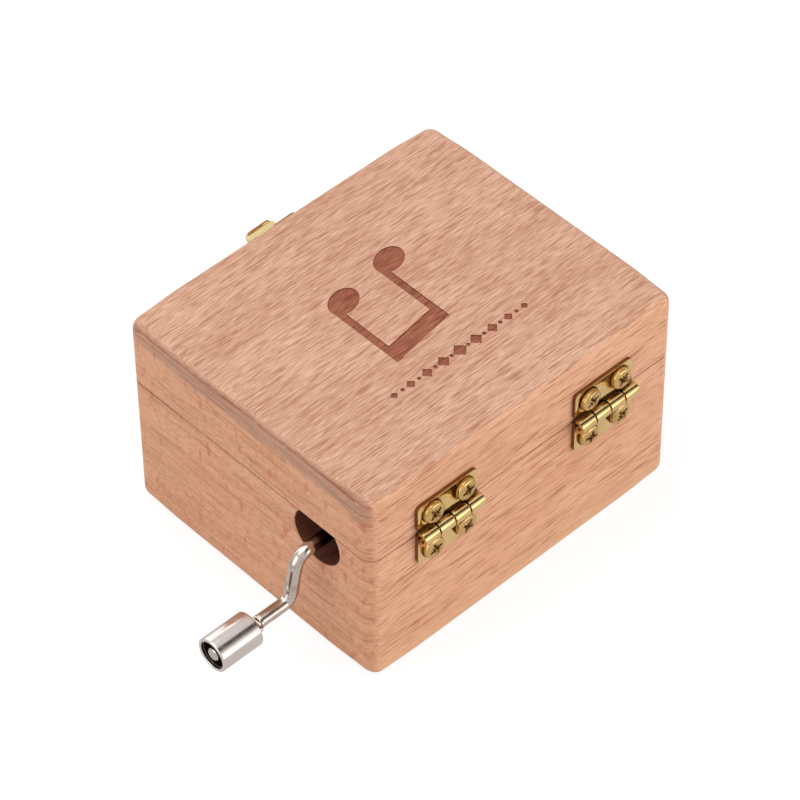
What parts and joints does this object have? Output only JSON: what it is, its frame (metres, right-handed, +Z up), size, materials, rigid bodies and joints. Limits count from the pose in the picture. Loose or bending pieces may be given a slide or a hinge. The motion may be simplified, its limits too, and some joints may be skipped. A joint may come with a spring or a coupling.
{
  "type": "hand crank music box",
  "caption": "Wooden music box with a hinged lid, a front toggle latch and a hand crank that turns a pinned drum against a steel comb through a worm and wheel.",
  "frame": {"origin": "centre of the base's flat resting face", "axes": "+Z up, +X out of the crank face, +Y towards the hinge side, -Y towards the latch side"},
  "size_m": [0.0858, 0.0618, 0.039],
  "materials": {
    "beech": "sanded, oiled",
    "brass_fittings": "polished",
    "nickel_crank": "polished",
    "zinc_casting": "as cast",
    "bright_steel": "ground",
    "drum_brass": "satin",
    "white_nylon": "moulded"
  },
  "bodies": {
    "box": {"box_body": "beech", "hinge_near_body_leaf": "brass_fittings", "hinge_near_pin": "brass_fittings", "hinge_near_body_screw_1": "brass_fittings", "hinge_near_body_screw_2": "brass_fittings", "hinge_far_body_leaf": "brass_fittings", "hinge_far_pin": "brass_fittings", "hinge_far_body_screw_1": "brass_fittings", "hinge_far_body_screw_2": "brass_fittings", "latch_base_plate": "brass_fittings", "latch_lever_pin": "brass_fittings", "latch_base_nail_1": "brass_fittings", "latch_base_nail_2": "brass_fittings", "latch_base_nail_3": "brass_fittings", "latch_base_nail_4": "brass_fittings", "movement_frame": "zinc_casting", "comb": "bright_steel", "comb_screw_1": "bright_steel", "comb_screw_2": "bright_steel", "comb_screw_3": "bright_steel", "crank_post_inner": "bright_steel", "crank_post_outer": "bright_steel", "crank_post_inner_screw": "bright_steel", "crank_post_outer_screw": "bright_steel", "base_screw_1": "bright_steel", "base_screw_2": "bright_steel", "base_screw_3": "bright_steel"},
    "lid": {"lid": "beech", "hinge_near_lid_leaf": "brass_fittings", "hinge_near_lid_screw_1": "brass_fittings", "hinge_near_lid_screw_2": "brass_fittings", "hinge_far_lid_leaf": "brass_fittings", "hinge_far_lid_screw_1": "brass_fittings", "hinge_far_lid_screw_2": "brass_fittings", "latch_catch_plate": "brass_fittings", "latch_catch_nail_1": "brass_fittings", "latch_catch_nail_2": "brass_fittings"},
    "crank": {"crank_rod": "nickel_crank", "crank_worm": "drum_brass"},
    "knob": {"crank_knob": "nickel_crank"},
    "drum": {"drum": "drum_brass", "drum_wheel": "white_nylon", "drum_cap": "white_nylon", "drum_shaft": "bright_steel"},
    "lever": {"latch_lever": "brass_fittings"},
    "loop": {"latch_loop": "brass_fittings"}
  },
  "joints": [
    {"name": "lid_hinge", "type": "hinge", "parent": "box", "child": "lid", "pos_m": [0, 0.02831, 0.0265], "axis": [-1, 0, 0], "range_deg": [0, 150]},
    {"name": "crank_spin", "type": "hinge", "parent": "box", "child": "crank", "pos_m": [0.032, 0.0155, 0.0229], "axis": [1, 0, 0], "continuous": true},
    {"name": "drum_spin", "type": "hinge", "parent": "box", "child": "drum", "pos_m": [0.008, 0, 0.0143], "axis": [0, 1, 0], "continuous": true},
    {"name": "knob_spin", "type": "hinge", "parent": "crank", "child": "knob", "pos_m": [0.046, 0.0155, 0.01435], "axis": [1, 0, 0], "continuous": true},
    {"name": "latch_lever_pivot", "type": "hinge", "parent": "box", "child": "lever", "pos_m": [0.0027, -0.0303, 0.0231], "axis": [-1, 0, 0], "range_deg": [0, 150]},
    {"name": "latch_loop_pivot", "type": "hinge", "parent": "lever", "child": "loop", "pos_m": [0.0027, -0.02885, 0.02], "axis": [1, 0, 0], "range_deg": [-172, 0]}
  ],
  "couplings": [
    {"joint": "drum_spin", "follows": "crank_spin", "ratio": -0.05}
  ]
}
